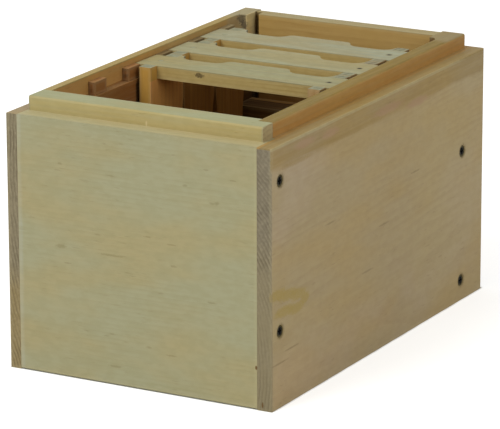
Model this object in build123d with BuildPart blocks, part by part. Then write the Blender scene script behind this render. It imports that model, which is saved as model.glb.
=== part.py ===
"""Small pine brood box with a raised rim, five frame places and three self-spacing frames.

X runs across the front (right is +), Y from the front to the rear, Z up.
The origin is the middle of the footprint.
"""
import os

from build123d import *

os.makedirs("parts", exist_ok=True)

# Box, outside
box_width = 156.0
box_depth = 246.0
ledge_height = 138.0
lip_height = 8.0

# Boards
left_board = 18.0
right_board = 23.5
front_board_thickness = 24.0
rear_board_thickness = 15.4
stop_board_thickness = 20.0
stop_board_height = 97.0
left_tongue = 6.2
right_tongue = 8.5
right_lap = 4.3
front_foot_gap = 0.6

# Rim: ledge outside the lip, and the lip's width on each side
left_ledge = 8.0
right_ledge = 10.0
front_ledge = 9.4
rear_end_ledge = 5.0
left_lip = 4.9
right_lip = 8.3
rear_board_lip = 8.6
rear_lip_height = 7.8
rear_gap = 0.3
rear_slot = 4.2
rear_slot_depth = 5.0
eased_edge = 1.2
rear_arris = 2.0

# Frame rest, cut into the inner top edge of the side boards
rest_depth = 10.5
rest_stop = 21.5
rest_corner = 4.5
spacer_length = 12.3
spacer_width = 4.0

# Frames, which share the depth between the front board and the stop board
frame_places = 5
filled_places = (3, 4, 5)
front_space = 7.6
rear_space = 4.0
frame_gap = 0.3
frame_floor_space = 8.0
left_bar_gap = 1.75
right_bar_gap = 3.2
lug_gap = 1.0
lug_side_gap = 0.6
bar_thickness = 7.2
end_bar_thickness = 7.2
end_bar_wide_part = 24.0
end_bar_taper = 20.0
end_bar_draw_in = 3.35
top_bar_setback = 6.6
top_bar_rear_setback = 1.5
notch_left_shoulder = 2.5
notch_right_shoulder = 0.5
notch_length = 27.0
notch_depth = 7.0
notch_lip_radius = 4.0
bottom_bar_width = 20.0
bottom_bar_thickness = 6.0

# Screws and nails
screw_head = 6.6
screw_shank = 3.2
screw_length = 35.0
screw_point = 5.0
screw_sink = 0.4
screw_cross = 3.8
screw_cross_slot = 0.9
screw_cross_depth = 1.1
front_screw_inset = 9.0
front_screw_heights = (119.6, 40.7)
rear_screw_inset = 27.0
rear_screw_edge = 11.5
back_screw_length = 28.0
back_screw_edge = 20.0
back_screw_side = 17.0
nail_head = 2.6
nail_head_thickness = 0.6
nail_shank = 1.4
nail_length = 22.0
nail_point = 2.0
bore_clearance = 0.05

# Places worked out from the sizes above
left_face = -box_width / 2
right_face = box_width / 2
front_face = -box_depth / 2
rear_face = box_depth / 2
lip_top = ledge_height + lip_height
left_wall = left_face + left_board
right_wall = right_face - right_board
left_lip_face = left_face + left_ledge
right_lip_face = right_face - right_ledge
left_rest_wall = left_lip_face + left_lip
right_rest_wall = right_lip_face - right_lip
front_wall = front_face + front_board_thickness
lap_y = (front_wall - right_lap, front_wall)
rear_wall = rear_face - rear_board_thickness
stop_wall = rear_wall - stop_board_thickness
rest_height = lip_top - rest_depth
rest_end = rear_face - rest_stop
frame_top = rest_height + bar_thickness
place_start = front_wall + front_space
frame_pitch = (stop_wall - rear_space - place_start) / frame_places
lug_width = frame_pitch - spacer_length - 2 * lug_side_gap
frame_depth = frame_pitch - frame_gap
frame_left = left_wall + left_bar_gap
frame_right = right_wall - right_bar_gap
window_left = frame_left + end_bar_thickness
window_right = frame_right - end_bar_thickness
head_radius = screw_head / 2
shank_radius = screw_shank / 2
bore_radius = shank_radius + bore_clearance
mouth_radius = head_radius + screw_sink
square_cone = 90
corner = (Align.MIN, Align.MIN, Align.MIN)


def bar(x, y, z, mode=Mode.ADD):
    """Adds or cuts a block that spans three (low, high) pairs."""
    with Locations((x[0], y[0], z[0])):
        Box(x[1] - x[0], y[1] - y[0], z[1] - z[0], align=corner, mode=mode)


def save(builder, label):
    """Names a finished piece and writes it."""
    builder.part.label = label
    export_step(builder.part, f"parts/{label}.step")


def screw_points(inset_y, heights):
    """Places of one pair of screws on a side, as (Y, Z)."""
    return [(inset_y, height) for height in heights]


front_screws = screw_points(front_face + front_screw_inset, front_screw_heights)
stop_screw_heights = (stop_board_height - rear_screw_edge, rear_screw_edge)
stop_screws = screw_points(rear_face - rear_screw_inset, stop_screw_heights)
side_screws = front_screws + stop_screws
back_screw_x = (left_wall + rear_slot + back_screw_side, right_wall - rear_gap - back_screw_side)
back_screws = [(x, z) for x in back_screw_x for z in (back_screw_edge, stop_board_height - back_screw_edge)]


def face_planes(points, x, outward):
    """Planes on a side face at the screws' places, looking outward."""
    return [Plane((x, y, z), z_dir=(outward, 0, 0)) for y, z in points]


def screw_mouths(planes, length):
    """Bores and countersinks for screws that start on the given planes."""
    with Locations(*planes):
        CounterSinkHole(bore_radius, mouth_radius, depth=length, counter_sink_angle=square_cone)


# Left side board
with BuildPart() as left_side_board:
    bar((left_face, left_face + left_tongue), (front_face, front_wall), (0, ledge_height))
    bar((left_face, left_wall), (front_wall, rear_face), (0, ledge_height))
    bar((left_lip_face, left_wall), (front_wall, rear_face - rear_end_ledge), (ledge_height, lip_top))
    with BuildSketch(Plane.XY.offset(rest_height)) as left_rest:
        with BuildLine():
            Polyline(
                (left_wall, front_wall),
                (left_wall, rest_end),
                (left_rest_wall, rest_end),
                (left_rest_wall, front_wall),
                close=True,
            )
        make_face()
        fillet(left_rest.vertices().group_by(Axis.Y)[-1].sort_by(Axis.X)[0], rest_corner)
    extrude(amount=rest_depth, mode=Mode.SUBTRACT)
    left_rear_edges = left_side_board.edges().filter_by(Axis.Z).group_by(Axis.Y)[-1]
    fillet(left_rear_edges.sort_by(Axis.X)[0], rear_arris)
    screw_mouths(face_planes(side_screws, left_face, -1), screw_length)
save(left_side_board, "left_side_board")

# Right side board
with BuildPart() as right_side_board:
    bar((right_face - right_tongue, right_face), (front_face, front_wall), (0, ledge_height))
    bar((right_wall, right_face), (front_wall, rear_face), (0, ledge_height))
    bar((right_wall, right_lip_face), (front_wall, rear_face - rear_end_ledge), (ledge_height, lip_top))
    bar((right_rest_wall, right_face), lap_y, (0, ledge_height))
    bar((right_rest_wall, right_lip_face), lap_y, (ledge_height, lip_top))
    with BuildSketch(Plane.XY.offset(rest_height)) as right_rest:
        with BuildLine():
            Polyline(
                (right_wall, front_wall),
                (right_rest_wall, front_wall),
                (right_rest_wall, rest_end),
                (right_wall, rest_end),
                close=True,
            )
        make_face()
        fillet(right_rest.vertices().group_by(Axis.Y)[-1].sort_by(Axis.X)[-1], rest_corner)
    extrude(amount=rest_depth, mode=Mode.SUBTRACT)
    right_lip_edges = right_side_board.edges().filter_by(Axis.Y).group_by(Axis.Z)[-1]
    fillet(right_lip_edges.sort_by(Axis.X)[-1], eased_edge)
    right_rear_edges = right_side_board.edges().filter_by(Axis.Z).group_by(Axis.Y)[-1]
    fillet(right_rear_edges.sort_by(Axis.X)[-1], rear_arris)
    screw_mouths(face_planes(side_screws, right_face, 1), screw_length)
save(right_side_board, "right_side_board")

# Front board, let in behind the side boards' tongues, with its right end cut back for the right board's lap
with BuildPart() as front_board:
    front_left_end = left_face + left_tongue
    front_right_end = right_face - right_tongue
    bar((front_left_end, front_right_end), (front_face, front_wall), (front_foot_gap, ledge_height))
    bar((left_lip_face, right_lip_face), (front_face + front_ledge, front_wall), (ledge_height, lip_top))
    bar((right_rest_wall, front_right_end), lap_y, (front_foot_gap, lip_top), mode=Mode.SUBTRACT)
    front_lip_edges = front_board.edges().filter_by(Axis.X).group_by(Axis.Z)[-1]
    fillet(front_lip_edges.sort_by(Axis.Y)[0], eased_edge)
    with Locations(*face_planes(front_screws, front_left_end, -1)):
        Hole(bore_radius, depth=screw_length - left_tongue)
    with Locations(*face_planes(front_screws, front_right_end, 1)):
        Hole(bore_radius, depth=screw_length - right_tongue)
save(front_board, "front_board")

# Rear stop board, the low board that the side boards' rear screws hold
with BuildPart() as rear_stop_board:
    bar((left_wall, right_wall), (stop_wall, rear_wall), (0, stop_board_height))
    with Locations(*face_planes(stop_screws, left_wall, -1)):
        Hole(bore_radius, depth=screw_length - left_board)
    with Locations(*face_planes(stop_screws, right_wall, 1)):
        Hole(bore_radius, depth=screw_length - right_board)
    with Locations(*[Plane((x, rear_wall, z), z_dir=(0, 1, 0)) for x, z in back_screws]):
        Hole(bore_radius, depth=back_screw_length - rear_board_thickness)
save(rear_stop_board, "rear_stop_board")

# Rear board, screwed to the stop board from behind, with a slot down the front edge of its left end
with BuildPart() as rear_board:
    rear_top = ledge_height + rear_lip_height
    rear_span = (left_wall + rear_gap, right_wall - rear_gap)
    slot_span = (left_wall, left_wall + rear_slot)
    bar(rear_span, (rear_wall, rear_face), (0, ledge_height))
    bar(rear_span, (rear_wall, rear_wall + rear_board_lip), (ledge_height, rear_top))
    bar(slot_span, (rear_wall, rear_wall + rear_slot_depth), (0, rear_top), mode=Mode.SUBTRACT)
    screw_mouths([Plane((x, rear_face, z), z_dir=(0, 1, 0)) for x, z in back_screws], back_screw_length)
save(rear_board, "rear_board")

# Spacer blocks on the two frame rests, one at the rear of each frame place
for place in range(1, frame_places + 1):
    spacer_middle = place_start + place * frame_pitch
    spacer_y = (spacer_middle - spacer_length / 2, spacer_middle + spacer_length / 2)
    with BuildPart() as left_spacer:
        bar((left_rest_wall, left_rest_wall + spacer_width), spacer_y, (rest_height, frame_top))
    save(left_spacer, f"left_spacer_{place}")
    with BuildPart() as right_spacer:
        bar((right_rest_wall - spacer_width, right_rest_wall), spacer_y, (rest_height, frame_top))
    save(right_spacer, f"right_spacer_{place}")


def countersunk_screw(length):
    """One screw along Z, its mouth at the origin and its point down, with a cross in its head."""
    with BuildPart() as screw:
        with BuildSketch(Plane.XZ):
            with BuildLine():
                Polyline(
                    (0, -screw_sink),
                    (head_radius, -screw_sink),
                    (shank_radius, -mouth_radius + shank_radius),
                    (shank_radius, -length + screw_point),
                    (0, -length),
                    close=True,
                )
            make_face()
        revolve(axis=Axis.Z)
        with BuildSketch(Plane.XY.offset(-screw_sink)):
            Rectangle(screw_cross, screw_cross_slot)
            Rectangle(screw_cross_slot, screw_cross)
        extrude(amount=-screw_cross_depth, mode=Mode.SUBTRACT)
    return screw.part


side_screw = countersunk_screw(screw_length)
back_screw = countersunk_screw(back_screw_length)

with BuildPart() as left_side_screws:
    with Locations(*face_planes(side_screws, left_face, -1)):
        add(side_screw)
save(left_side_screws, "left_side_screws")

with BuildPart() as right_side_screws:
    with Locations(*face_planes(side_screws, right_face, 1)):
        add(side_screw)
save(right_side_screws, "right_side_screws")

with BuildPart() as rear_board_screws:
    with Locations(*[Plane((x, rear_face, z), z_dir=(0, 1, 0)) for x, z in back_screws]):
        add(back_screw)
save(rear_board_screws, "rear_board_screws")


def nail():
    """One nail along Z, its head's top at the origin and its point down."""
    with BuildPart() as nail_piece:
        with BuildSketch(Plane.XZ):
            with BuildLine():
                Polyline(
                    (0, 0),
                    (nail_head / 2, 0),
                    (nail_head / 2, -nail_head_thickness),
                    (nail_shank / 2, -nail_head_thickness),
                    (nail_shank / 2, -nail_length + nail_point),
                    (0, -nail_length),
                    close=True,
                )
            make_face()
        revolve(axis=Axis.Z)
    return nail_piece.part


def nail_bores(planes):
    """Bores for nails whose heads lie flush with the given planes."""
    head_bore = nail_head / 2 + bore_clearance
    with Locations(*planes):
        CounterBoreHole(nail_shank / 2 + bore_clearance, head_bore, nail_head_thickness, depth=nail_length)


frame_nail = nail()
end_bar_middles = (frame_left + end_bar_thickness / 2, frame_right - end_bar_thickness / 2)


def frame_planes(middle):
    """Planes of a frame's nails: two down through the top bar, two up through the bottom bar."""
    from_above = [Plane((x, middle, frame_top), z_dir=(0, 0, 1)) for x in end_bar_middles]
    from_below = [Plane((x, middle, frame_floor_space), z_dir=(0, 0, -1)) for x in end_bar_middles]
    return from_above, from_below


def end_bar(x, middle, planes):
    """One end bar: wide at the top, drawn in below, notched for the top bar's neck and the bottom bar."""
    wide = frame_depth / 2
    slim = wide - end_bar_draw_in
    taper_start = frame_top - end_bar_wide_part
    taper_end = taper_start - end_bar_taper
    with BuildPart() as piece:
        with BuildSketch(Plane((x, middle, 0), x_dir=(0, 1, 0), z_dir=(1, 0, 0))):
            with BuildLine():
                Polyline(
                    (wide, frame_top),
                    (wide, taper_start),
                    (slim, taper_end),
                    (slim, frame_floor_space),
                    (-slim, frame_floor_space),
                    (-slim, taper_end),
                    (-wide, taper_start),
                    (-wide, frame_top),
                    close=True,
                )
            make_face()
            with Locations((0, frame_top)):
                Rectangle(lug_width, 2 * bar_thickness, mode=Mode.SUBTRACT)
            with Locations((0, frame_floor_space)):
                Rectangle(bottom_bar_width, 2 * bottom_bar_thickness, mode=Mode.SUBTRACT)
        extrude(amount=end_bar_thickness)
        nail_bores(planes)
    return piece


for number, place in enumerate(filled_places, start=1):
    frame_start = place_start + (place - 1) * frame_pitch + frame_gap / 2
    middle = frame_start + frame_depth / 2
    nails_above, nails_below = frame_planes(middle)
    all_nails = nails_above + nails_below
    name = f"frame_{number}"

    # Top bar: lugs and necks, a straight front edge, two rounded notches in the rear edge
    with BuildPart() as top_bar:
        body_rear = frame_start + frame_depth - top_bar_rear_setback
        with BuildSketch(Plane.XY.offset(frame_top)) as outline:
            with BuildLine():
                Polyline(
                    (window_left, frame_start + top_bar_setback),
                    (window_right, frame_start + top_bar_setback),
                    (window_right, body_rear),
                    (window_left, body_rear),
                    close=True,
                )
            make_face()
            left_notch = window_left + notch_left_shoulder + notch_length / 2
            right_notch = window_right - notch_right_shoulder - notch_length / 2
            with Locations((left_notch, body_rear), (right_notch, body_rear)):
                SlotOverall(notch_length, 2 * notch_depth, mode=Mode.SUBTRACT)
            rear_corners = outline.vertices().group_by(Axis.Y)[-1].sort_by(Axis.X)
            fillet(rear_corners[2:4], notch_lip_radius)
        extrude(amount=-bar_thickness)
        for neck in ((left_rest_wall + lug_gap, window_left), (window_right, right_rest_wall - lug_gap)):
            neck_y = (middle - lug_width / 2, middle + lug_width / 2)
            bar(neck, neck_y, (rest_height, frame_top))
        nail_bores(nails_above)
    save(top_bar, f"{name}_top_bar")

    left_end_bar = end_bar(frame_left, middle, all_nails)
    save(left_end_bar, f"{name}_left_end_bar")
    right_end_bar = end_bar(window_right, middle, all_nails)
    save(right_end_bar, f"{name}_right_end_bar")

    # Bottom bar, let into the foot of both end bars
    with BuildPart() as bottom_bar:
        bottom_y = (middle - bottom_bar_width / 2, middle + bottom_bar_width / 2)
        bottom_z = (frame_floor_space, frame_floor_space + bottom_bar_thickness)
        bar((frame_left, frame_right), bottom_y, bottom_z)
        nail_bores(nails_below)
    save(bottom_bar, f"{name}_bottom_bar")

    with BuildPart() as nails:
        with Locations(*all_nails):
            add(frame_nail)
    save(nails, f"{name}_nails")
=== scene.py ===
"""Finishes of a small pine brood box: its boards, spacer blocks, lift-out frames, fasteners and stage."""

import math

import bpy
from bpy.props import FloatProperty, FloatVectorProperty, PointerProperty
from mathutils import Matrix, Vector


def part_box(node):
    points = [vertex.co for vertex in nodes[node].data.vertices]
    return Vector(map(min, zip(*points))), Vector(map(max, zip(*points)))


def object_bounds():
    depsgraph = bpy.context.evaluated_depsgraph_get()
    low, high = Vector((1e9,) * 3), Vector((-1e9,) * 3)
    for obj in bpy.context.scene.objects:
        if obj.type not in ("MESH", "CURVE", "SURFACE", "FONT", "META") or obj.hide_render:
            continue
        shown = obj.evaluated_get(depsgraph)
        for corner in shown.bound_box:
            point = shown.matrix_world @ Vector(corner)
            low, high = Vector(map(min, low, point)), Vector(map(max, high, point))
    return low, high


bl_info = {
    "name": "Brood Box Finishes",
    "version": (1, 0, 0),
    "blender": (4, 5, 0),
    "location": "View3D > Sidebar > Brood Box",
    "description": "Gives a small pine brood box eased edges, wood and steel finishes and a studio stage",
    "category": "Object",
}

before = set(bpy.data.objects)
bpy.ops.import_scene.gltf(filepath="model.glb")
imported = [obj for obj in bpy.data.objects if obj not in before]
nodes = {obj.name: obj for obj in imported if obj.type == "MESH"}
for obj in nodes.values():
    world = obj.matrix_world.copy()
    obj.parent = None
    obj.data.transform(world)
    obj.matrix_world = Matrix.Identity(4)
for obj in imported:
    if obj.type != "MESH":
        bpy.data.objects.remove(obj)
cad_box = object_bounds()

MM = 0.001
X, Y, Z = range(3)
SIDES = ("left", "right")
FRAMES = ("frame_1", "frame_2", "frame_3")
SPACERS = tuple(f"{side}_spacer_{place}" for side in SIDES for place in range(1, 6))
SCREWS = {"left_side_screws": X, "right_side_screws": X, "rear_board_screws": Y}


def paint(red, green, blue):
    """A colour from its 0 to 255 values, as the shaders take it."""
    def level(value):
        part = value / 255
        return part / 12.92 if part <= 0.04045 else ((part + 0.055) / 1.055) ** 2.4

    return (level(red), level(green), level(blue))


def at(*values):
    """A point or a reach given in millimetres."""
    return tuple(value * MM for value in values)


def from_corner(corner, values):
    """A point that lies some millimetres away from a corner."""
    return tuple(start + value * MM for start, value in zip(corner, values))


def label(name, stuff):
    """A finish's name, from the node's name and what it is made of."""
    return f"{name} {stuff}".replace("_", " ")


def colour(name, default, description):
    """A colour that a user may change."""
    return FloatVectorProperty(
        name=name, description=description, default=default, subtype="COLOR", size=3, min=0, max=1
    )


def length(name, default, description):
    """A length that a user may change."""
    return FloatProperty(
        name=name, description=description, default=default, min=0, subtype="DISTANCE", unit="LENGTH"
    )


def watts(name, default, description):
    """A lamp's power that a user may change."""
    return FloatProperty(name=name, description=description, default=default, min=0, unit="POWER")


class BroodBoxWood(bpy.types.PropertyGroup):
    """Colours and grain of the bare pine."""

    front: colour("Front board", paint(161, 158, 125), "Pale wood of the front board")
    side: colour("Side boards", paint(169, 151, 113), "Pale wood of the side boards")
    rear: colour("Rear boards", paint(190, 157, 94), "Pale wood of the rear board and the stop board")
    bars: colour("Frame bars", paint(190, 168, 107), "Pale wood of the top bars and bottom bars")
    bar_tops: colour("Dusty tops", paint(163, 164, 133), "Dusty nail heads and the end bars' sawn tops")
    ends: colour("End bars", paint(200, 156, 74), "Pale wood of the frames' left end bars")
    blocks: colour("Spacer blocks", paint(149, 96, 47), "Wood of the clean spacer blocks")
    lip: colour("Lip", paint(179, 157, 92), "Brown heartwood in the left board's lip")
    yellow: colour("Yellow wood", paint(181, 168, 117), "Yellow wood in the front board's lip")
    late: colour("Late wood tone", (0.66, 0.57, 0.42), "What a ring's dark line keeps of each colour")
    olive: colour("Olive late wood tone", (0.80, 0.77, 0.62), "What a dark line keeps in the front board")
    blush: colour("Blush", paint(174, 156, 127), "Broad pinkish patches on the side boards")
    end_grain: colour("End grain", paint(145, 134, 107), "Sawn ends of the boards and bars")
    resin: colour("Resin", paint(182, 146, 66), "Yellow clouds of resin in the wood")
    knot: colour("Knot", paint(104, 78, 44), "Small knots and the darkest pores")
    # Hive stain and painted shade that darken the wood inside the box below a height
    stain_and_shade: colour("Hive stain and painted shade", paint(141, 91, 44), "Darkened wood inside the box")
    ring_width: length("Ring width", 2.6 * MM, "Thickness of one growth ring")
    wander: length("Grain wander", 2.2 * MM, "How far the grain strays from a straight line")
    relief: length("Relief", 0.10 * MM, "Height of the raised grain")


class BroodBoxEdges(bpy.types.PropertyGroup):
    """How far each kind of piece has its sharp edges taken off."""

    board: length("Boards", 0.45 * MM, "Width of the eased edge on the boards")
    bar: length("Frame bars", 0.35 * MM, "Width of the eased edge on the frames' bars")
    block: length("Spacer blocks", 0.3 * MM, "Width of the eased edge on the spacer blocks")
    steel: length("Screws and nails", 0.08 * MM, "Width of the eased edge on the screws and nails")


class BroodBoxSteel(bpy.types.PropertyGroup):
    """Colours of the screws and nails."""

    screw: colour("Screws", paint(104, 92, 52), "Yellow film on the screws' heads")
    drive: colour("Drives", paint(9, 8, 5), "Dark drive in a screw's head, and the dark nail heads")
    nail: colour("Nails", paint(150, 142, 108), "Nail heads under dust and wax")
    tarnish: colour("Tarnish", paint(14, 11, 7), "Brown film on the steel")


class BroodBoxStage(bpy.types.PropertyGroup):
    """Light, floor and camera."""

    floor: colour("Floor", paint(242, 242, 240), "Pale floor under the box")
    sky: FloatProperty(
        name="Room light", description="Strength of the even light from all around", default=0.50,
        min=0, max=4, subtype="FACTOR",
    )
    key: watts("Key lamp", 19, "Power of the large lamp at the front left")
    fill: watts("Fill lamp", 5, "Power of the lamp at the right")
    lens: FloatProperty(
        name="Lens", description="Focal length of the camera", default=274.7, min=1, unit="CAMERA"
    )


class Wiring:
    """Places shader nodes in one tree and joins them."""

    def __init__(self, tree):
        self.tree = tree

    def add(self, kind, feeds=None, **settings):
        """One node with its settings, its inputs fed by sockets or plain values."""
        node = self.tree.nodes.new(kind)
        for key, value in settings.items():
            setattr(node, key, value)
        for key, value in (feeds or {}).items():
            self.feed(node.inputs[key], value)
        return node

    def feed(self, socket, value):
        """Joins a socket to another one, or sets its value."""
        if isinstance(value, bpy.types.NodeSocket):
            self.tree.links.new(value, socket)
        elif socket.type == "RGBA" and len(value) == 3:
            socket.default_value = (*value, 1)
        else:
            socket.default_value = value

    def maths(self, operation, first, second=0.0, clamp=False):
        """A sum on one or two values."""
        node = self.add("ShaderNodeMath", {0: first, 1: second}, operation=operation, use_clamp=clamp)
        return node.outputs[0]

    def times(self, first, second, clamp=False):
        """One value times another."""
        return self.maths("MULTIPLY", first, second, clamp)

    def plus(self, first, second):
        """One value and another."""
        return self.maths("ADD", first, second)

    def line(self, value, slope, start):
        """A start that grows by a slope times the value."""
        return self.plus(self.times(value, slope), start)

    def vector(self, operation, first, second=(0, 0, 0)):
        """A sum on one or two vectors."""
        node = self.add("ShaderNodeVectorMath", {0: first, 1: second}, operation=operation)
        return node.outputs["Value" if operation == "LENGTH" else "Vector"]

    def ramp(self, value, low, high, start=0.0, end=1.0):
        """A smooth step from start to end as the value goes from low to high."""
        feeds = {0: value, 1: low, 2: high, 3: start, 4: end}
        return self.add("ShaderNodeMapRange", feeds, interpolation_type="SMOOTHSTEP").outputs[0]

    def noise(self, vector, cells, detail=2.0, roughness=0.5):
        """Noise with a number of cells per metre along each axis."""
        place = self.vector("MULTIPLY", vector, cells)
        feeds = {"Vector": place, "Scale": 1.0, "Detail": detail, "Roughness": roughness}
        return self.add("ShaderNodeTexNoise", feeds).outputs

    def mix(self, amount, first, second, blend="MIX"):
        """One colour laid over another."""
        feeds = {0: amount, 6: first, 7: second}
        return self.add("ShaderNodeMix", feeds, data_type="RGBA", blend_type=blend).outputs[2]

    def parts(self, vector):
        """The three values of a vector."""
        return self.add("ShaderNodeSeparateXYZ", {0: vector}).outputs

    def group(self, name, **feeds):
        """One of the shared effects, with its inputs fed by name."""
        node = self.add("ShaderNodeGroup", node_tree=bpy.data.node_groups[name])
        for key, value in feeds.items():
            self.feed(node.inputs[key.replace("_", " ").title()], value)
        return node.outputs


SOCKETS = {"value": "NodeSocketFloat", "vector": "NodeSocketVector"}
HALF = (0.5, 0.5, 0.5)
ACROSS_GRAIN = (0, 1, 1)
BLUSH_SHIFT = (3, 5, 9)
SPOT_RIPPLES = 21.0

# Noise cells per metre, first along the grain and then across it
WANDER_CELLS = (9, 26, 26)
RING_CELLS = (30, 160, 160)
FADE_CELLS = (22, 60, 60)
STREAK_CELLS = (16, 520, 520)
PORE_CELLS = (130, 850, 850)
PATCH_CELLS = (14, 34, 34)
BLUSH_CELLS = (9, 16, 16)
MOTTLE_CELLS = (170, 330, 330)

# Noise cells per metre along X, Y and Z
RUB_CELLS = (240, 240, 240)
BORDER_CELLS = (60, 60, 60)
SPOT_CELLS = (900, 900, 900)
BLOTCH_CELLS = (700, 700, 700)
SCRATCH_CELLS = (4000, 500, 4000)


def start_effect(name, takes, gives):
    """An empty shared effect: its wiring, its inputs and its outputs."""
    tree = bpy.data.node_groups.new(name, "ShaderNodeTree")
    for socket, kind in takes.items():
        tree.interface.new_socket(name=socket, in_out="INPUT", socket_type=SOCKETS[kind])
    for socket, kind in gives.items():
        tree.interface.new_socket(name=socket, in_out="OUTPUT", socket_type=SOCKETS[kind])
    wiring = Wiring(tree)
    taken = wiring.add("NodeGroupInput").outputs
    given = wiring.add("NodeGroupOutput").inputs
    return wiring, taken, given


def make_growth_rings():
    """Growth rings around a heart line, for a vector whose X runs along the grain."""
    takes = {
        "Vector": "vector", "Seed": "vector", "Heart": "vector", "Ring Width": "value", "Wander": "value"
    }
    w, taken, given = start_effect("Growth Rings", takes, {"Late Wood": "value", "Fade": "value"})
    moved = w.vector("ADD", taken["Vector"], taken["Seed"])
    stray = w.vector("SUBTRACT", w.noise(moved, WANDER_CELLS, detail=3)["Color"], HALF)
    scaled = w.add("ShaderNodeVectorMath", {0: stray, "Scale": taken["Wander"]}, operation="SCALE")
    place = w.vector("ADD", w.vector("SUBTRACT", taken["Vector"], taken["Heart"]), scaled.outputs[0])
    radius = w.vector("LENGTH", w.vector("MULTIPLY", place, ACROSS_GRAIN))
    uneven = w.times(w.noise(moved, RING_CELLS)[0], 0.9)
    phase = w.maths("FRACT", w.plus(w.maths("DIVIDE", radius, taken["Ring Width"]), uneven))
    late = w.times(w.ramp(phase, 0.25, 0.9), w.ramp(phase, 0.9, 1.0, 1.0, 0.0))
    w.feed(given["Late Wood"], late)
    w.feed(given["Fade"], w.ramp(w.noise(moved, FADE_CELLS, detail=3)[0], 0.32, 0.68))


def make_wood_fibres():
    """Long pale and dark streaks and short pore dashes along the grain."""
    gives = {"Streak": "value", "Pore": "value"}
    w, taken, given = start_effect("Wood Fibres", {"Vector": "vector", "Seed": "vector"}, gives)
    moved = w.vector("ADD", taken["Vector"], taken["Seed"])
    streak = w.noise(moved, STREAK_CELLS, detail=4, roughness=0.65)[0]
    w.feed(given["Streak"], w.ramp(streak, 0.3, 0.7))
    w.feed(given["Pore"], w.ramp(w.noise(moved, PORE_CELLS)[0], 0.62, 0.76))


def make_soft_patches():
    """Broad cloudy patches, longer along the grain, and a fine mottle."""
    gives = {"Patch": "value", "Blush": "value", "Mottle": "value"}
    w, taken, given = start_effect("Soft Patches", {"Vector": "vector", "Seed": "vector"}, gives)
    moved = w.vector("ADD", taken["Vector"], taken["Seed"])
    w.feed(given["Patch"], w.ramp(w.noise(moved, PATCH_CELLS, detail=3)[0], 0.38, 0.68))
    elsewhere = w.vector("ADD", moved, BLUSH_SHIFT)
    w.feed(given["Blush"], w.ramp(w.noise(elsewhere, BLUSH_CELLS, detail=4)[0], 0.42, 0.64))
    w.feed(given["Mottle"], w.ramp(w.noise(moved, MOTTLE_CELLS, detail=3)[0], 0.36, 0.66))


def make_edge_rub():
    """The worn arris of a piece that fills the box between two corners."""
    takes = {"Vector": "vector", "Low": "vector", "High": "vector", "Width": "value"}
    w, taken, given = start_effect("Edge Rub", takes, {"Edge": "value"})
    above = w.vector("SUBTRACT", taken["Vector"], taken["Low"])
    below = w.vector("SUBTRACT", taken["High"], taken["Vector"])
    x, y, z = w.parts(w.vector("ABSOLUTE", w.vector("MINIMUM", above, below)))
    middle = w.maths("MAXIMUM", w.maths("MINIMUM", x, y), w.maths("MINIMUM", w.maths("MAXIMUM", x, y), z))
    rough = w.noise(taken["Vector"], RUB_CELLS, detail=3)[0]
    reach = w.times(taken["Width"], w.plus(rough, 0.5))
    w.feed(given["Edge"], w.ramp(w.maths("DIVIDE", middle, reach), 0.4, 1.0, 1.0, 0.0))


def make_box_inside():
    """The space between two corners, with soft borders."""
    takes = {"Vector": "vector", "Low": "vector", "High": "vector", "Soft": "vector"}
    w, taken, given = start_effect("Box Inside", takes, {"Inside": "value"})
    ragged = w.vector("SUBTRACT", w.noise(taken["Vector"], BORDER_CELLS, detail=3)["Color"], HALF)
    place = w.parts(w.vector("ADD", taken["Vector"], w.vector("MULTIPLY", ragged, taken["Soft"])))
    low, high, soft = (w.parts(taken[name]) for name in ("Low", "High", "Soft"))
    inside = 1.0
    for axis in (X, Y, Z):
        up = w.ramp(place[axis], w.maths("SUBTRACT", low[axis], soft[axis]), low[axis])
        down = w.ramp(place[axis], high[axis], w.plus(high[axis], soft[axis]), 1.0, 0.0)
        inside = w.times(w.times(up, down), inside)
    w.feed(given["Inside"], inside)


def make_spot():
    """A ragged spot around a point, with its own reach along each axis, and ripples in it."""
    takes = {"Vector": "vector", "Point": "vector", "Reach": "vector", "Ragged": "value"}
    w, taken, given = start_effect("Spot", takes, {"Spot": "value", "Ripple": "value"})
    away = w.vector("DIVIDE", w.vector("SUBTRACT", taken["Vector"], taken["Point"]), taken["Reach"])
    rough = w.maths("SUBTRACT", w.noise(taken["Vector"], SPOT_CELLS)[0], 0.5)
    far = w.plus(w.vector("LENGTH", away), w.times(rough, taken["Ragged"]))
    spot = w.ramp(far, 0.45, 1.0, 1.0, 0.0)
    w.feed(given["Spot"], spot)
    wave = w.line(w.maths("SINE", w.times(far, SPOT_RIPPLES)), 0.5, 0.5)
    w.feed(given["Ripple"], w.times(wave, spot))


def make_tarnish():
    """Blotches and fine scratches on steel."""
    gives = {"Blotch": "value", "Scratch": "value"}
    w, taken, given = start_effect("Steel Tarnish", {"Vector": "vector"}, gives)
    blotch = w.noise(taken["Vector"], BLOTCH_CELLS, detail=4, roughness=0.6)[0]
    w.feed(given["Blotch"], w.ramp(blotch, 0.4, 0.65))
    w.feed(given["Scratch"], w.ramp(w.noise(taken["Vector"], SCRATCH_CELLS)[0], 0.45, 0.7))


EFFECTS = (
    make_growth_rings,
    make_wood_fibres,
    make_soft_patches,
    make_edge_rub,
    make_box_inside,
    make_spot,
    make_tarnish,
)

QUARTER = math.pi / 2
GRAIN_TURNS = {"X": (0, 0, 0), "Y": (0, 0, -QUARTER), "Z": (0, QUARTER, 0)}
SEED_SPREAD = 7.3
RUB_WIDTH = 2.2 * MM

# How strongly the traits that all wood shares show
ZONE_STREAKS = 0.3
PORE_KNOT = 0.35
RUB_SHARE = 0.14
RUBBED_WOOD = paint(190, 178, 138)
MARK_RIPPLE = 0.4

# What sawn ends have instead of, or on top of, what the faces have
SAWN_TONE = (0.42, 0.39, 0.35)
SAWN_LINES = 0.95
SAWN_STREAKS = 0.25
SAWN_ROUGHNESS = 0.14

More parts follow.
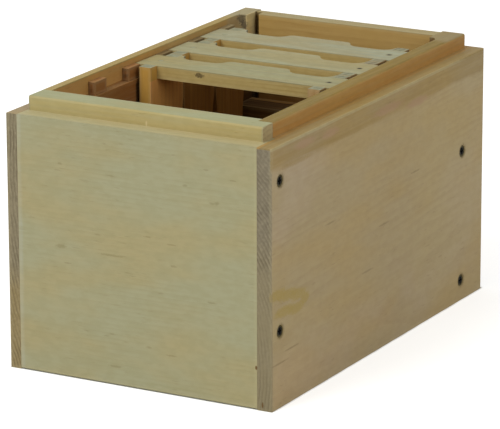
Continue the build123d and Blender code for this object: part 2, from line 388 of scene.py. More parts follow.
# How rough and shiny the wood is, and how its traits change that
WOOD_ROUGHNESS = 0.68
LATE_ROUGHNESS = -0.08
PATCH_ROUGHNESS = 0.05
MARK_ROUGHNESS = 0.1
WOOD_SHINE = 0.25

# Heights of the grain, as shares of the relief
RING_HEIGHT = 0.4
STREAK_HEIGHT = 0.3
PORE_DEPTH = 0.6
GRAIN_BUMP = 0.6

# How the steel looks
STEEL_BLOTCHES = 0.5
STEEL_SCRATCHES = 0.2
SCRATCHED_STEEL = (0.12, 0.11, 0.08)
STEEL_MARK_RAGGED = 0.2
STEEL_ROUGHNESS = 0.55
BLOTCH_ROUGHNESS = 0.2
STEEL_METALLIC = 0.3
BLOTCH_METALLIC = 0.2
STEEL_SHINE = 0.08
SCRATCH_BUMP = 0.3
SCRATCH_DEPTH = 0.02 * MM

# Kinds of wood: tone of the dark lines, share of the ring width, and how strongly each trait shows
CALM = {
    "late": "olive", "ring": 1.0, "lines": 0.26, "dashes": 0.34, "streaks": 0.11,
    "clouds": 0.24, "blush": 0.0, "mottle": 0.26,
}
PLAIN = {
    "late": "late", "ring": 0.75, "lines": 0.26, "dashes": 0.26, "streaks": 0.11,
    "clouds": 0.22, "blush": 0.9, "mottle": 0.14,
}
BARS = {**PLAIN, "lines": 0.36, "streaks": 0.18, "clouds": 0.32, "blush": 0.0, "mottle": 0.24}
LIVELY = {
    "late": "late", "ring": 1.3, "lines": 0.42, "dashes": 0.16, "streaks": 0.16,
    "clouds": 0.22, "blush": 0.0, "mottle": 0.10,
}


def new_finish(name):
    """A material with only its shader and output, and its wiring."""
    material = bpy.data.materials.new(name)
    material.use_nodes = True
    material.node_tree.nodes.clear()
    w = Wiring(material.node_tree)
    shader = w.add("ShaderNodeBsdfPrincipled")
    w.feed(w.add("ShaderNodeOutputMaterial").inputs["Surface"], shader.outputs[0])
    return material, w, shader


def wood_masks(w, sources, grain, heart, corners, style, slant):
    """Where one solid block of wood has rings, fibres, patches, worn edges and sawn ends."""
    wood = bpy.context.scene.brood_box_wood
    place = sources["Object"]
    turn = list(GRAIN_TURNS[grain])
    turn[X if grain == "Z" else Z] += slant
    along = w.add("ShaderNodeMapping", {"Vector": place, "Rotation": turn}).outputs[0]
    normal = {"Vector": sources["Normal"], "Rotation": turn}
    facing = w.add("ShaderNodeMapping", normal, vector_type="NORMAL").outputs[0]
    low, high = corners
    spread = (low[X] + high[Y], low[Y] - high[Z], low[Z] + 2 * high[X])
    seed = tuple(SEED_SPREAD * value for value in spread)
    rings = w.group(
        "Growth Rings", vector=along, seed=seed, heart=(0, *heart),
        ring_width=wood.ring_width * style["ring"], wander=wood.wander,
    )
    fibres = w.group("Wood Fibres", vector=along, seed=seed)
    soft = w.group("Soft Patches", vector=along, seed=seed)
    rub = w.group("Edge Rub", vector=place, low=low, high=high, width=RUB_WIDTH)
    masks = {"Sawn": w.ramp(w.maths("ABSOLUTE", w.parts(facing)[X]), 0.7, 0.9)}
    for sockets in (rings, fibres, soft, rub):
        masks.update((socket.name, socket) for socket in sockets)
    return masks


def lay_zones(w, shown, place, streak, zones):
    """Lays each zone's shade over the wood, a little uneven along the grain."""
    uneven = w.line(streak, ZONE_STREAKS, 1 - ZONE_STREAKS)
    for shade, strength, low, high, soft in zones:
        inside = w.group("Box Inside", vector=place, low=low, high=high, soft=soft)["Inside"]
        shown = w.mix(w.times(w.times(inside, uneven), strength), shown, shade)
    return shown


def lay_grain(w, shown, masks, style):
    """Draws rings, resin, streaks and pores over the wood, and gives the height of the raised grain."""
    wood = bpy.context.scene.brood_box_wood
    sawn = masks["Sawn"]
    tone = w.mix(sawn, getattr(wood, style["late"]), SAWN_TONE)
    dark = w.mix(1.0, shown, tone, "MULTIPLY")
    darkest = w.mix(PORE_KNOT, w.mix(1.0, dark, tone, "MULTIPLY"), wood.knot)
    lines = w.times(masks["Late Wood"], w.line(masks["Fade"], 0.8, 0.2))
    line_share = w.line(sawn, SAWN_LINES - style["lines"], style["lines"])
    clouds = w.times(masks["Patch"], w.maths("SUBTRACT", 1.0, sawn))
    streak_share = w.line(sawn, SAWN_STREAKS, style["streaks"])
    dashes = w.times(masks["Pore"], w.line(masks["Fade"], 0.7, 0.3))
    shown = w.mix(w.times(lines, line_share), shown, dark)
    shown = w.mix(w.times(clouds, style["clouds"]), shown, wood.resin)
    shown = w.mix(w.times(masks["Mottle"], style["mottle"]), shown, dark)
    shown = w.mix(w.times(masks["Streak"], streak_share), shown, dark)
    shown = w.mix(w.times(dashes, style["dashes"]), shown, darkest)
    shown = w.mix(w.times(masks["Edge"], RUB_SHARE), shown, RUBBED_WOOD)
    raised = w.plus(w.times(lines, RING_HEIGHT), w.times(masks["Streak"], STREAK_HEIGHT))
    return shown, w.maths("SUBTRACT", raised, w.times(dashes, PORE_DEPTH))


def lay_marks(w, shown, place, dull, marks):
    """Lays each mark's rippled spot over the wood, and gives how dull the wood gets."""
    for shade, strength, point, reach, ragged in marks:
        spot = w.group("Spot", vector=place, point=point, reach=reach, ragged=ragged)
        rippled = w.plus(spot["Spot"], w.times(spot["Ripple"], MARK_RIPPLE))
        share = w.times(rippled, strength, clamp=True)
        shown = w.mix(share, shown, shade)
        dull = w.plus(dull, w.times(share, MARK_ROUGHNESS))
    return shown, dull


def pine(name, early, grain, heart, corners, style, ends=None, slant=0.0, zones=(), marks=()):
    """Bare pine whose rings, fibres and end grain follow one solid block of wood.

    A zone is (shade, share, low, high, soft) and a mark is (shade, share, point, reach, ragged).
    """
    wood = bpy.context.scene.brood_box_wood
    material, w, shader = new_finish(name)
    sources = w.add("ShaderNodeTexCoord").outputs
    place = sources["Object"]
    masks = wood_masks(w, sources, grain, heart, corners, style, slant)
    shown = w.mix(w.times(masks["Blush"], style["blush"]), early, wood.blush)
    shown = w.mix(masks["Sawn"], shown, ends or wood.end_grain)
    shown = lay_zones(w, shown, place, masks["Streak"], zones)
    shown, height = lay_grain(w, shown, masks, style)
    shown, dull = lay_marks(w, shown, place, w.times(masks["Patch"], PATCH_ROUGHNESS), marks)
    w.feed(shader.inputs["Base Color"], shown)
    rough = w.plus(w.times(masks["Late Wood"], LATE_ROUGHNESS), w.plus(dull, WOOD_ROUGHNESS))
    w.feed(shader.inputs["Roughness"], w.plus(rough, w.times(masks["Sawn"], SAWN_ROUGHNESS)))
    shader.inputs["Specular IOR Level"].default_value = WOOD_SHINE
    bump = w.add("ShaderNodeBump", {"Height": height, "Strength": GRAIN_BUMP, "Distance": wood.relief})
    w.feed(shader.inputs["Normal"], bump.outputs[0])
    return material


def dull_steel(name, metal, marks=()):
    """Steel with a brown film, blotches and fine scratches.

    A mark is (shade, share, point, reach), such as the dark drive of a screw.
    """
    steel = bpy.context.scene.brood_box_steel
    material, w, shader = new_finish(name)
    place = w.add("ShaderNodeTexCoord").outputs["Object"]
    film = w.group("Steel Tarnish", vector=place)
    blotch, scratch = film["Blotch"], film["Scratch"]
    shown = w.mix(w.times(blotch, STEEL_BLOTCHES), metal, steel.tarnish)
    shown = w.mix(w.times(scratch, STEEL_SCRATCHES), shown, SCRATCHED_STEEL)
    for shade, strength, point, reach in marks:
        spot = w.group("Spot", vector=place, point=point, reach=reach, ragged=STEEL_MARK_RAGGED)["Spot"]
        shown = w.mix(w.times(spot, strength), shown, shade)
    w.feed(shader.inputs["Base Color"], shown)
    w.feed(shader.inputs["Roughness"], w.line(blotch, BLOTCH_ROUGHNESS, STEEL_ROUGHNESS))
    shader.inputs["Specular IOR Level"].default_value = STEEL_SHINE
    w.feed(shader.inputs["Metallic"], w.maths("SUBTRACT", STEEL_METALLIC, w.times(blotch, BLOTCH_METALLIC)))
    bump = w.add("ShaderNodeBump", {"Height": scratch, "Strength": SCRATCH_BUMP, "Distance": SCRATCH_DEPTH})
    w.feed(shader.inputs["Normal"], bump.outputs[0])
    return material


WELD_GAP = 0.001 * MM
FLAT_ANGLE = math.radians(0.5)
SHARP_ANGLE = math.radians(40)
FACE_WEIGHT = 100
FASTENER_WIDTH = 8 * MM


def dress(name, material, edge, segments=2):
    """Gives a CAD node its finish and takes the sharpness off its edges."""
    piece = nodes[name]
    piece.data.materials.clear()
    piece.data.materials.append(material)
    weld = piece.modifiers.new("Join faces", "WELD")
    weld.merge_threshold = WELD_GAP
    flat = piece.modifiers.new("Whole faces", "DECIMATE")
    flat.decimate_type = "DISSOLVE"
    flat.angle_limit = FLAT_ANGLE
    bevel = piece.modifiers.new("Eased edges", "BEVEL")
    bevel.width = edge
    bevel.segments = segments
    bevel.limit_method = "ANGLE"
    bevel.angle_limit = SHARP_ANGLE
    bevel.use_clamp_overlap = True
    even = piece.modifiers.new("Flat faces", "WEIGHTED_NORMAL")
    even.weight = FACE_WEIGHT


def fastener_places(name, axis):
    """Middles of the screws or nails in a node, seen along an axis."""
    heaps = []
    for vertex in nodes[name].data.vertices:
        flat = vertex.co.copy()
        flat[axis] = 0
        near = next((heap for heap in heaps if (heap[0] - flat).length < FASTENER_WIDTH), None)
        if near is None:
            heaps.append([flat])
        else:
            near.append(flat)
    middles = []
    for heap in heaps:
        low = Vector([min(values) for values in zip(*heap)])
        high = Vector([max(values) for values in zip(*heap)])
        middles.append((low + high) / 2)
    return middles


# A reach in a table runs from START to END where it passes the piece on that side
START = -1000
END = 1000
WHOLE = (START, END)

# Soft border of the hive stain and painted shade inside the box, in millimetres
STAIN_AND_SHADE_BORDER = (1, 1, 20)

# Boards: name of the finish, wood colour, way of the grain, heart of the log across the grain in metres,
# kind of wood, slant of the grain in degrees, shade of the sawn ends, and the share and height of the hive
# stain and painted shade inside the box
BOARDS = {
    "left_side_board": (
        "left side pine", "side", "Y", (-0.245, 0.120), PLAIN, 1.2, "end_grain", (1.15, 134)
    ),
    "right_side_board": (
        "right side pine", "side", "Y", (0.036, 0.020), PLAIN, 1.2, "end_grain", (1.15, 134)
    ),
    "front_board": (
        "Front pine", "front", "X", (-0.060, -0.300), CALM, -0.6, (176, 160, 121), (0.9, 118)
    ),
    "rear_board": (
        "rear board pine", "rear", "X", (0.20, 0.02), LIVELY, 0, "end_grain", (0.6, 100)
    ),
    "rear_stop_board": (
        "rear stop board pine", "rear", "X", (0.20, 0.02), LIVELY, 0, "end_grain", (0.6, 100)
    ),
}

# Zones of a board: shade, share, reach along X, Y and Z, and soft border, in millimetres from the board's
# left side, its front and the box's foot
BOARD_ZONES = {
    "left_side_board": {
        # Painted shade on the inner wall between the frames' end bars
        "wall by the frames": ((44, 26, 12), 0.9, (17.5, END), (101.4, 231), (START, 132), (0.4, 0.6, 3)),
        "foot of the tongue": ((158, 139, 94), 0.85, WHOLE, (START, 0.6), (START, 42), (1, 0.4, 14)),
        "lip": ("lip", 0.9, WHOLE, WHOLE, (139, END), (1, 1, 1)),
        "lip inside": ((186, 148, 90), 0.85, (12, 13.4), (START, 224.6), (134, 145.2), (0.4, 1, 0.4)),
        "lip inside, front": ((202, 152, 84), 0.85, (12, 13.4), (START, 113), (134, 145.2), (0.4, 40, 0.4)),
        "frame rest": ((150, 104, 56), 0.9, (12, 18.1), (START, 223), (134.6, 135.9), (0.3, 1, 0.2)),
        "rear corner": ((168, 160, 128), 0.8, WHOLE, (221, END), (145.6, END), (1, 8, 0.3)),
        # Painted light on the inner face of the block at the rear end
        "rear wall": ((236, 214, 154), 0.9, (17.6, END), (224, 233.6), (130, 145.7), (0.2, 1, 2)),
        # Painted shade on the wall seen in the slot by the rear board, darkest deep down
        "wall in the slot": ((112, 78, 40), 0.9, (17.6, END), (234.4, END), (START, 145.2), (0.2, 1, 1)),
        "depth of the slot": ((34, 20, 9), 0.95, (17.6, END), (230.4, END), (START, 125), (0.2, 0.4, 4)),
        "end of the rest": ((174, 158, 120), 0.75, (12, 17.3), (213, 225), (134, 145.2), (0.4, 4, 0.4)),
    },
    "right_side_board": {
        "top of the tongue": ((126, 118, 102), 0.5, (5.5, END), (START, 0.6), (95, 139), (1, 0.4, 30)),
        # Painted light that lifts the rear part of the outer face
        "rear of the face": ((178, 160, 118), 0.7, (23.4, END), (193, END), (START, 138.4), (0.2, 60, 0.6)),
        "band under the rim": ((150, 128, 82), 0.85, (22.9, END), WHOLE, (128, 136.6), (0.4, 1, 4)),
        "ledge": ((152, 130, 78), 0.95, (11.5, END), WHOLE, (137.4, 138.4), (1, 1, 0.4)),
        # Painted light on the ledge by the lip's foot, against the lip's shade
        "ledge by the lip": ((190, 150, 88), 0.8, (11.5, 16), WHOLE, (137.4, 138.4), (1.5, 1, 0.4)),
        # Painted highlight along the outer arris of the ledge
        "arris of the ledge": ((176, 164, 124), 0.85, (22.7, END), (-7, 183), (137, 138.4), (0.3, 60, 0.5)),
        "lip": ((162, 134, 70), 0.95, WHOLE, WHOLE, (138.6, END), (1, 1, 0.8)),
        # Painted light at the lip's foot, against the shade there
        "foot of the lip": ((192, 142, 74), 0.8, (11.5, 13.6), WHOLE, (138.6, 140.4), (0.3, 1, 0.8)),
        "band in the lip": ((176, 127, 60), 0.8, (11.5, END), WHOLE, (141.2, 144.6), (0.6, 1, 2.2)),
        "top of the lip": ((127, 108, 43), 0.95, (START, 12.7), WHOLE, (145.6, END), (0.8, 1, 0.4)),
        "rear corner": ((160, 144, 106), 0.8, (START, 12.9), (222, END), (145.6, END), (0.8, 8, 0.4)),
        "end of the rest": ((112, 76, 42), 0.85, (START, 5.9), (219, 225), (134, 145.5), (1, 0.3, 0.4)),
    },
    "front_board": {
        "left edge": ((166, 166, 146), 0.7, (START, 1.6), (START, 2), (START, 137), (1.6, 1, 2)),
        "ledge": ((192, 183, 141), 0.9, WHOLE, (1, 13), (137.7, 138.3), (1, 0.8, 0.2)),
        "lip": ("yellow", 0.95, (2.8, 138.8), WHOLE, (138.5, END), (0.5, 1, 0.5)),
        "top of the lip": ((166, 172, 136), 0.9, WHOLE, (10.4, END), (145.6, END), (1, 0.6, 0.3)),
    },
    "rear_board": {
        # Painted shade on the lap's front face in the slot at the left end
        "slot": ((40, 22, 9), 0.95, (START, 3.7), (START, 5.3), (START, 145.3), (0.1, 0.2, 0.3)),
        "top": ((172, 161, 120), 1.1, WHOLE, WHOLE, (145.5, END), (1, 1, 0.2)),
    },
    "rear_stop_board": {
        # Painted shade over the stop board's front and top, under the frames
        "front and top": ((58, 36, 18), 0.95, WHOLE, (START, 14.9), WHOLE, (1, 1.5, 1)),
    },
}

# Single marks on a board: shade, share, point, reach and raggedness, measured as the zones are
BOARD_MARKS = {
    "right_side_board": {
        "calm foot of the tongue": ((137, 125, 95), 0.5, (19, 0, 16), (12, 2, 78), 0.2),
        "dash at the foot": ("knot", 0.8, (18.1, 0, 3), (0.7, 2, 2.2), 0.3),
    },
    "front_board": {
        "nick at the foot of the lip": ((206, 190, 146), 0.6, (72.2, 9.4, 139.6), (0.7, 1, 1.9), 0.3),
        "knot at the right edge": ("knot", 0.9, (140.8, 0, 22.4), (0.9, 2, 1.5), 0.3),
        "sawn end of the lip": ((174, 155, 112), 0.62, (139.8, 15.5, 142), (0.8, 9, 8), 0.3),
    },
}

# A screw's bruise around its hole, as a mark at the hole's middle
SCREW_BRUISE = ((104, 90, 50), 0.55, (0, 0, 0), (30, 5.2, 5.2), 0.5)

# Stains at the left board's rear corner: shade, share and raggedness, how far each stretches for its size,
# and each one's X, Y, Z and size
CORNER_STAIN = ((88, 77, 60), 0.6, 1.3)
STAIN_STRETCH = (1.3, 1.8, 1.6)
CORNER_STAINS = (
    (14.6, 224.2, 143.5, 2.2), (16.2, 224.6, 140.5, 1.9), (13, 216.5, 139.4, 1.6), (13, 211, 138.2, 1.5)
)

# Trails along the right face: shade, share, raggedness, stretch, height, and each spot's Y, Z and length
TRAIL_DEPTH = 3
FACE_TRAILS = {
    "resin arch": (
        (160, 138, 74), 0.56, 0.7, 1.5, 3.8,
        ((6, 60.6, 8), (17, 57.8, 9), (28, 55.4, 7), (35.5, 51.6, 4), (26, 48.4, 8), (13, 50.2, 9)),
    ),
    "brown streaks": (
        (150, 126, 78), 0.45, 0.9, 1, 1.7,
        ((19, 131, 26), (51, 128.5, 40), (27, 125.5, 24), (93, 127, 44), (153, 130.5, 50)),
    ),
    "pink streaks": (
        (166, 134, 104), 0.5, 0.9, 1, 3.2,
        ((35, 133.2, 14), (63, 132, 12), (129, 130, 22), (163, 126, 16)),
    ),
    "dark fibres": (
        (112, 96, 62), 0.34, 0.8, 1, 0.7,
        ((124, 68, 8), (105, 47, 9), (21.2, 28.7, 10), (8.6, 23.8, 12), (161, 88, 7), (63, 84, 7)),
    ),
}

# Olive flecks on the front face: shade, share and raggedness, and each one's X, Z, length and height
FLECK = ((122, 112, 70), 0.3, 1.1)
FLECK_STRETCH = 1.5
FLECK_DEPTH = 2
FLECKS = (
    (57.7, 10.2, 3.2, 0.8), (92.9, 69.2, 1.8, 0.8), (99.9, 112.8, 1.4, 0.8), (77.7, 82.7, 1.8, 0.6),
    (118.4, 105.8, 1.4, 1.2), (115.6, 105.4, 1.4, 0.8), (127.5, 118.9, 1.8, 0.6), (25.7, 70.6, 2.6, 1.4),
    (29.5, 62.0, 1.8, 0.6), (112.2, 122.6, 1.6, 0.6), (56.4, 69.9, 6.0, 0.8), (25.7, 114.9, 1.2, 0.8),
    (77.9, 23.6, 1.4, 0.8), (91.2, 21.1, 2.6, 0.6), (91.8, 80.4, 2.4, 0.6), (115.0, 53.0, 2.4, 0.6),
)

# Spacer blocks: shades of the third left one, darker with painted shade in its slot, and of the fourth and
# fifth, greyer with dust; of the left ones' sawn ends; and of the right ones, painted dark with shade
DUST_AND_SHADE_BLOCKS = {
    "left_spacer_3": (84, 62, 30),
    "left_spacer_4": (104, 86, 53),
    "left_spacer_5": (124, 109, 77),
}
BLOCK_ENDS = (139, 91, 42)
SHADED_RIGHT_BLOCKS = (54, 35, 19)
BLOCK_HEART = (0.05, 0.05)

# Top bars: shades of the planed tops from the front, the zone they fill under the highest corner, the nails'
# bruises, and the first bar's knot, measured from its lowest corner
PLANED_SHADES = ((159, 161, 125), (163, 169, 139), (164, 173, 151))
PLANED_TOP = (0.95, WHOLE, WHOLE, (-0.4, END), (1, 1, 0.2))
NAIL_BRUISE = (96, 76, 46)
NAIL_BRUISE_SHARES = {"left": 0.2, "right": 0.4}
NAIL_BRUISE_REACH = (2.4, 2.4, 4)
NAIL_BRUISE_RAGGED = 0.9
BAR_KNOT = ((84, 68, 40), 0.65, (39.2, 0, 4.8), (3.4, 3.5, 1.7), 1.3)
TOP_BAR_HEART = (0.05, -0.12)
HEART_STEP = 0.03

# End bars: shade of the right ones, share and height of the hive stain and painted shade from the front, and
# zones measured from the outer or the inner face and the top
RIGHT_END_BARS = (192, 158, 108)
END_BAR_STAINS_AND_SHADE = ((0.45, 90), (0.85, 126), (0.85, 126))
# Painted shade on each end bar's outer face, beside the wall
OUTER_FACE_SHADE = ((58, 38, 20), 0.85, (-0.4, 0.4), WHOLE, (START, -1), (0.2, 1, 0.5))
# Painted light on the inner face of the first frame's left end bar
LIT_BAR = "frame_1_left_end_bar"
LIT_FACE = ((222, 158, 92), 0.85, (-0.4, END), WHOLE, (START, -8), (0.2, 1, 1))
END_BAR_HEART = (0.1, 0.12)

# Bottom bars: share and height of the hive stain and painted shade
BOTTOM_BAR_STAIN_AND_SHADE = (0.6, 118)
BOTTOM_BAR_HEART = (0.03, -0.05)

# Marks on the steel: how far a screw's drive reaches across and along the screw, and the share and reach of
# the dusty left nail heads and the dark right ones
DRIVE_REACH = 3.6 * MM
DRIVE_DEPTH = 1.0
DUSTY_HEAD = (0.85, at(8, 8, 400))
DARK_HEAD = (1.0, at(1.5, 1.5, 400))


def shade_of(shade):
    """A shade given by the name of a wood colour or by its 0 to 255 values."""
    return getattr(bpy.context.scene.brood_box_wood, shade) if isinstance(shade, str) else paint(*shade)


def zone(row, corner):
    """A zone from its row in a table, measured from a corner."""
    shade, strength, *reaches, soft = row
    low, high = (from_corner(corner, ends) for ends in zip(*reaches))
    return (shade_of(shade), strength, low, high, at(*soft))


def mark(row, corner):
    """A mark from its row in a table, measured from a corner."""
    shade, strength, point, reach, ragged = row
    return (shade_of(shade), strength, from_corner(corner, point), at(*reach), ragged)


def inside_stain_and_shade(strength, top):
    """Hive stain and painted shade on the wood between the four walls, up to a height in millimetres."""
    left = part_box("left_side_board")[1].x
    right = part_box("right_side_board")[0].x
    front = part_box("front_board")[1].y
    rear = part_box("rear_board")[0].y
    shade = bpy.context.scene.brood_box_wood.stain_and_shade
    return (shade, strength, (left, front, START * MM), (right, rear, top * MM), at(*STAIN_AND_SHADE_BORDER))


class BROODBOX_OT_effects(bpy.types.Operator):
    """Makes the shared grain, wear, stain, painted light and shade, and tarnish effects"""

    bl_idname = "broodbox.effects"
    bl_label = "Make Shared Effects"

    def execute(self, context):
        for make in EFFECTS:
            make()
        return {"FINISHED"}


class BROODBOX_OT_boards(bpy.types.Operator):
    """Finishes the five boards of the box"""

    bl_idname = "broodbox.boards"
    bl_label = "Finish Boards"

    def execute(self, context):
        edge = context.scene.brood_box_edges.board
        foot = cad_box[0][Z]
        for name, (finish_name, shade, grain, heart, style, slant, ends, stain_and_shade) in BOARDS.items():
            low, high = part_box(name)
            corner = (low.x, low.y, foot)
            # Hive stain and painted shade inside the box, below a height
            zones = [inside_stain_and_shade(*stain_and_shade)]
            zones += [zone(row, corner) for row in BOARD_ZONES[name].values()]
            marks = self.repeated_marks(name, corner, high.x)
            marks += [mark(row, corner) for row in BOARD_MARKS.get(name, {}).values()]
            finish = pine(
                finish_name, shade_of(shade), grain, heart, (low, high), style,
                ends=shade_of(ends), slant=math.radians(slant), zones=zones, marks=marks,
            )
            dress(name, finish, edge)
        return {"FINISHED"}

    def repeated_marks(self, name, corner, right):
        """The bruises, stains, trails and flecks of a board whose right side is given."""
        if name == "left_side_board":
            return self.bruises("left_side_screws", corner[X]) + self.corner_stains(corner)
        if name == "right_side_board":
            return self.bruises("right_side_screws", right) + self.trails((right, *corner[1:]))
        if name == "front_board":
            return self.flecks(corner)
        return []

    def bruises(self, screws, face):
        """The bruised rim of each screw hole in a side face."""
        places = fastener_places(screws, SCREWS[screws])
        return [mark(SCREW_BRUISE, (face, place.y, place.z)) for place in places]

    def corner_stains(self, corner):
        """Dark stains where the left lip meets the rear end."""
        shade, strength, ragged = CORNER_STAIN
        return [
            mark((shade, strength, point, [size * stretch for stretch in STAIN_STRETCH], ragged), corner)
            for *point, size in CORNER_STAINS
        ]

    def trails(self, corner):
        """Resin, streaks and dark fibres along the right face."""
        return [
            mark((shade, strength, (0, y, z), (TRAIL_DEPTH, stretch * long, tall), ragged), corner)
            for shade, strength, ragged, stretch, tall, spots in FACE_TRAILS.values()
            for y, z, long in spots
        ]

    def flecks(self, corner):
        """Small olive dashes on the front face."""
        shade, strength, ragged = FLECK
        return [
            mark((shade, strength, (x, 0, z), (FLECK_STRETCH * long, FLECK_DEPTH, tall), ragged), corner)
            for x, z, long, tall in FLECKS
        ]


class BROODBOX_OT_spacers(bpy.types.Operator):
    """Finishes the spacer blocks on the frame rests"""

    bl_idname = "broodbox.spacers"
    bl_label = "Finish Spacer Blocks"

    def execute(self, context):
        edge = context.scene.brood_box_edges.block
        for name in SPACERS:
            shade, ends = shade_of(DUST_AND_SHADE_BLOCKS.get(name, "blocks")), paint(*BLOCK_ENDS)
            # The right blocks are painted dark as shade in their slots
            if name.startswith("right"):
                shade = ends = paint(*SHADED_RIGHT_BLOCKS)
            finish = pine(label(name, "pine"), shade, "Y", BLOCK_HEART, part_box(name), LIVELY, ends=ends)
            dress(name, finish, edge)
        return {"FINISHED"}


class BROODBOX_OT_frames(bpy.types.Operator):
    """Finishes the bars of the lift-out frames"""

    bl_idname = "broodbox.frames"
    bl_label = "Finish Frames"

    def execute(self, context):
        wood = context.scene.brood_box_wood
        edge = context.scene.brood_box_edges.bar
        for number, name in enumerate(FRAMES):
            bar = f"{name}_top_bar"
            dress(bar, self.top_bar(wood, name, bar, number), edge)
            for side in SIDES:
                bar = f"{name}_{side}_end_bar"
                dress(bar, self.end_bar(wood, bar, side, number), edge)
            bar = f"{name}_bottom_bar"
            dress(bar, self.bottom_bar(wood, bar), edge)
        return {"FINISHED"}

    def top_bar(self, wood, name, bar, number):
        """A bar with a planed top, bruised around its nails, and with a knot if it is the first."""
        low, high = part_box(bar)
        marks = []
        for place in fastener_places(f"{name}_nails", Z):
            strength = NAIL_BRUISE_SHARES["right" if place.x > 0 else "left"]
            row = (NAIL_BRUISE, strength, (0, 0, 0), NAIL_BRUISE_REACH, NAIL_BRUISE_RAGGED)
            marks.append(mark(row, (place.x, place.y, high.z)))
        if number == 0:
            marks.append(mark(BAR_KNOT, low))
        zones = [zone((PLANED_SHADES[number], *PLANED_TOP), high)]
        heart = (TOP_BAR_HEART[0] + HEART_STEP * number, TOP_BAR_HEART[1] - HEART_STEP * number)
        return pine(
            label(bar, "pine"), wood.bars, "X", heart, (low, high), BARS, zones=zones, marks=marks
        )

    def end_bar(self, wood, bar, side, number):
        """A bar with hive stain and painted shade towards its foot, and painted shade on its outer face."""
        low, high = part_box(bar)
        outer = low.x if side == "left" else high.x
        # Hive stain and painted shade towards the foot, and painted shade on the outer face
        zones = [inside_stain_and_shade(*END_BAR_STAINS_AND_SHADE[number]), zone(OUTER_FACE_SHADE, (outer, high.y, high.z))]
        # Painted light on this bar's inner face
        if bar == LIT_BAR:
            zones.append(zone(LIT_FACE, high))
        shade = wood.ends if side == "left" else paint(*RIGHT_END_BARS)
        return pine(
            label(bar, "pine"), shade, "Z", END_BAR_HEART, (low, high), LIVELY,
            ends=wood.bar_tops, zones=zones,
        )

    def bottom_bar(self, wood, bar):
        """A plain bar, with the hive stain and painted shade of the inside of the box."""
        zones = [inside_stain_and_shade(*BOTTOM_BAR_STAIN_AND_SHADE)]
        return pine(label(bar, "pine"), wood.bars, "X", BOTTOM_BAR_HEART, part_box(bar), BARS, zones=zones)


class BROODBOX_OT_fasteners(bpy.types.Operator):
    """Finishes the screws and nails"""

    bl_idname = "broodbox.fasteners"
    bl_label = "Finish Screws and Nails"

    def execute(self, context):
        wood = context.scene.brood_box_wood
        steel = context.scene.brood_box_steel
        edge = context.scene.brood_box_edges.steel
        for name, axis in SCREWS.items():
            reach = [DRIVE_REACH] * 3
            reach[axis] = DRIVE_DEPTH
            drives = [(steel.drive, 1.0, place, reach) for place in fastener_places(name, axis)]
            dress(name, dull_steel(label(name, "steel"), steel.screw, drives), edge, segments=1)
        for name in (f"{frame_name}_nails" for frame_name in FRAMES):
            heads = []
            for place in fastener_places(name, Z):
                on_left = place.x < 0
                strength, reach = DUSTY_HEAD if on_left else DARK_HEAD
                heads.append((wood.bar_tops if on_left else steel.drive, strength, place, reach))
            dress(name, dull_steel(label(name, "steel"), steel.nail, heads), edge, segments=1)
        return {"FINISHED"}


WHITE = (1, 1, 1)
BLACK = (0, 0, 0)
FLOOR_HALF = 6.0
FLOOR_GLOW = 0.55
FLOOR_BORDER = at(1, 1, 1)
LAMP_AIM = Vector((0, 0, 0.08))

# Lamps: the stage value that holds its power, place and size
LAMPS = {
    "Key lamp": ("key", Vector((-0.6, -1.35, 1.5)), 1.1),
    "Fill lamp": ("fill", Vector((1.5, -0.7, 0.9)), 1.2),
}

# Camera: turn, lift and roll in degrees, a point in the box, how far the view's middle lies right of it and
# above it, and the distance to that middle
CAMERA_ANGLES = (28.9139, 15.9513, -0.1648)
CAMERA_AIM = Vector((0, 0, 0.070))
CAMERA_RIGHT = -2.0277 * MM
CAMERA_ABOVE = -6.8219 * MM
CAMERA_DISTANCE = 2.05438
CAMERA_SIGHT = 50
SENSOR_WIDTH = 36


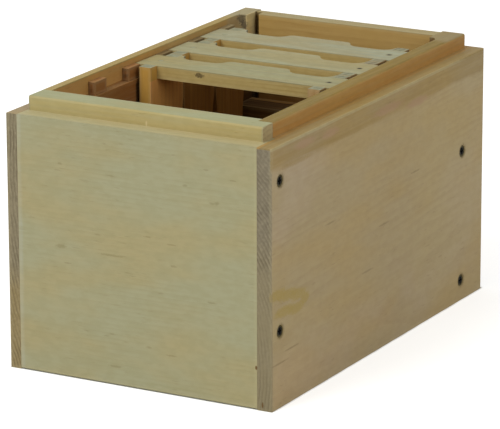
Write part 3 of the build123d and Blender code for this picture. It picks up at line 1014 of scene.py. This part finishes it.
class BROODBOX_OT_stage(bpy.types.Operator):
    """Lays the pale floor and sets the lamps, the room light and the camera"""

    bl_idname = "broodbox.stage"
    bl_label = "Set Stage"

    def execute(self, context):
        stage = context.scene.brood_box_stage
        context.scene.view_settings.view_transform = "Standard"
        self.lay_floor(context, stage)
        self.light_room(context, stage)
        for name, (power, place, size) in LAMPS.items():
            self.hang_lamp(context, name, place, size, getattr(stage, power))
        self.set_camera(context, stage)
        return {"FINISHED"}

    def lay_floor(self, context, stage):
        """A wide pale floor that shows the shadow and glows up to white, except inside the open box."""
        signs = ((-1, -1), (1, -1), (1, 1), (-1, 1))
        corners = [(x * FLOOR_HALF, y * FLOOR_HALF, 0) for x, y in signs]
        mesh = bpy.data.meshes.new("Studio floor")
        mesh.from_pydata(corners, [], [(0, 1, 2, 3)])
        floor = bpy.data.objects.new("Studio floor", mesh)
        context.scene.collection.objects.link(floor)
        material = bpy.data.materials.new("Studio floor")
        material.use_nodes = True
        material.node_tree.nodes.clear()
        w = Wiring(material.node_tree)
        matt = w.add("ShaderNodeBsdfDiffuse", {"Color": stage.floor})
        place = w.add("ShaderNodeTexCoord").outputs["Object"]
        low, high = ((*corner[:2], z) for corner, z in zip(cad_box, (-1, 1)))
        indoors = w.group("Box Inside", vector=place, low=low, high=high, soft=FLOOR_BORDER)["Inside"]
        shade = w.mix(indoors, WHITE, BLACK)
        strength = w.times(self.seen(w), FLOOR_GLOW)
        glow = w.add("ShaderNodeEmission", {"Color": shade, "Strength": strength})
        both = w.add("ShaderNodeAddShader", {0: matt.outputs[0], 1: glow.outputs[0]})
        w.feed(w.add("ShaderNodeOutputMaterial").inputs["Surface"], both.outputs[0])
        mesh.materials.append(material)

    def seen(self, w):
        """One where a ray comes from the camera, a mirror or glass."""
        path = w.add("ShaderNodeLightPath").outputs
        direct = w.maths("MAXIMUM", path["Is Camera Ray"], path["Is Glossy Ray"])
        return w.maths("MAXIMUM", direct, path["Is Transmission Ray"])

    def light_room(self, context, stage):
        """Even light from all around, seen as white."""
        world = bpy.data.worlds.new("Studio room")
        context.scene.world = world
        world.use_nodes = True
        world.node_tree.nodes.clear()
        w = Wiring(world.node_tree)
        feeds = {0: self.seen(w), 2: stage.sky, 3: 1.0}
        strength = w.add("ShaderNodeMix", feeds, data_type="FLOAT").outputs[0]
        room = w.add("ShaderNodeBackground", {"Color": WHITE, "Strength": strength})
        w.feed(w.add("ShaderNodeOutputWorld").inputs["Surface"], room.outputs[0])

    def hang_lamp(self, context, name, place, size, power):
        """One large soft lamp that faces the box."""
        lamp = bpy.data.lights.new(name, "AREA")
        lamp.shape = "DISK"
        lamp.size = size
        lamp.energy = power
        holder = bpy.data.objects.new(name, lamp)
        holder.location = place
        holder.rotation_euler = (LAMP_AIM - place).to_track_quat("-Z", "Y").to_euler()
        context.scene.collection.objects.link(holder)

    def set_camera(self, context, stage):
        """A long lens at the front right that looks down on the open top."""
        turn, lift, roll = (math.radians(angle) for angle in CAMERA_ANGLES)
        level = math.cos(lift)
        ahead = Vector((-math.sin(turn) * level, math.cos(turn) * level, -math.sin(lift)))
        right = ahead.cross(Vector((0, 0, 1))).normalized()
        up = right.cross(ahead)
        rolled_right = math.cos(roll) * right + math.sin(roll) * up
        rolled_up = math.cos(roll) * up - math.sin(roll) * right
        middle = CAMERA_AIM + CAMERA_RIGHT * right + CAMERA_ABOVE * up
        view = bpy.data.cameras.new("Photo view")
        view.lens = stage.lens
        view.sensor_width = SENSOR_WIDTH
        view.clip_end = CAMERA_SIGHT
        camera = bpy.data.objects.new("Photo view", view)
        facing = Matrix((rolled_right, rolled_up, -ahead)).transposed().to_4x4()
        camera.matrix_world = Matrix.Translation(middle - CAMERA_DISTANCE * ahead) @ facing
        context.scene.collection.objects.link(camera)
        context.scene.camera = camera


class BROODBOX_PT_finishes(bpy.types.Panel):
    """Lists the brood box's finishing steps and their values"""

    bl_idname = "BROODBOX_PT_finishes"
    bl_label = "Brood Box"
    bl_space_type = "VIEW_3D"
    bl_region_type = "UI"
    bl_category = "Brood Box"

    def draw(self, context):
        for step in STEPS:
            self.layout.operator(step.bl_idname)
        for name, group in GROUPS.items():
            box = self.layout.box()
            values = getattr(context.scene, name)
            for key in group.__annotations__:
                box.prop(values, key)


STEPS = (
    BROODBOX_OT_effects,
    BROODBOX_OT_boards,
    BROODBOX_OT_spacers,
    BROODBOX_OT_frames,
    BROODBOX_OT_fasteners,
    BROODBOX_OT_stage,
)
GROUPS = {
    "brood_box_wood": BroodBoxWood,
    "brood_box_edges": BroodBoxEdges,
    "brood_box_steel": BroodBoxSteel,
    "brood_box_stage": BroodBoxStage,
}


def register():
    """Adds the values, the steps and the panel to Blender."""
    for group in GROUPS.values():
        bpy.utils.register_class(group)
    for name, group in GROUPS.items():
        setattr(bpy.types.Scene, name, PointerProperty(type=group))
    for step in STEPS:
        bpy.utils.register_class(step)
    bpy.utils.register_class(BROODBOX_PT_finishes)


def unregister():
    """Takes the panel, the steps and the values out again."""
    bpy.utils.unregister_class(BROODBOX_PT_finishes)
    for step in reversed(STEPS):
        bpy.utils.unregister_class(step)
    for name in GROUPS:
        delattr(bpy.types.Scene, name)
    for group in reversed(list(GROUPS.values())):
        bpy.utils.unregister_class(group)


def main():
    """Runs every step in order."""
    register()
    bpy.ops.broodbox.effects()
    bpy.ops.broodbox.boards()
    bpy.ops.broodbox.spacers()
    bpy.ops.broodbox.frames()
    bpy.ops.broodbox.fasteners()
    bpy.ops.broodbox.stage()


if __name__ == "__main__":
    main()
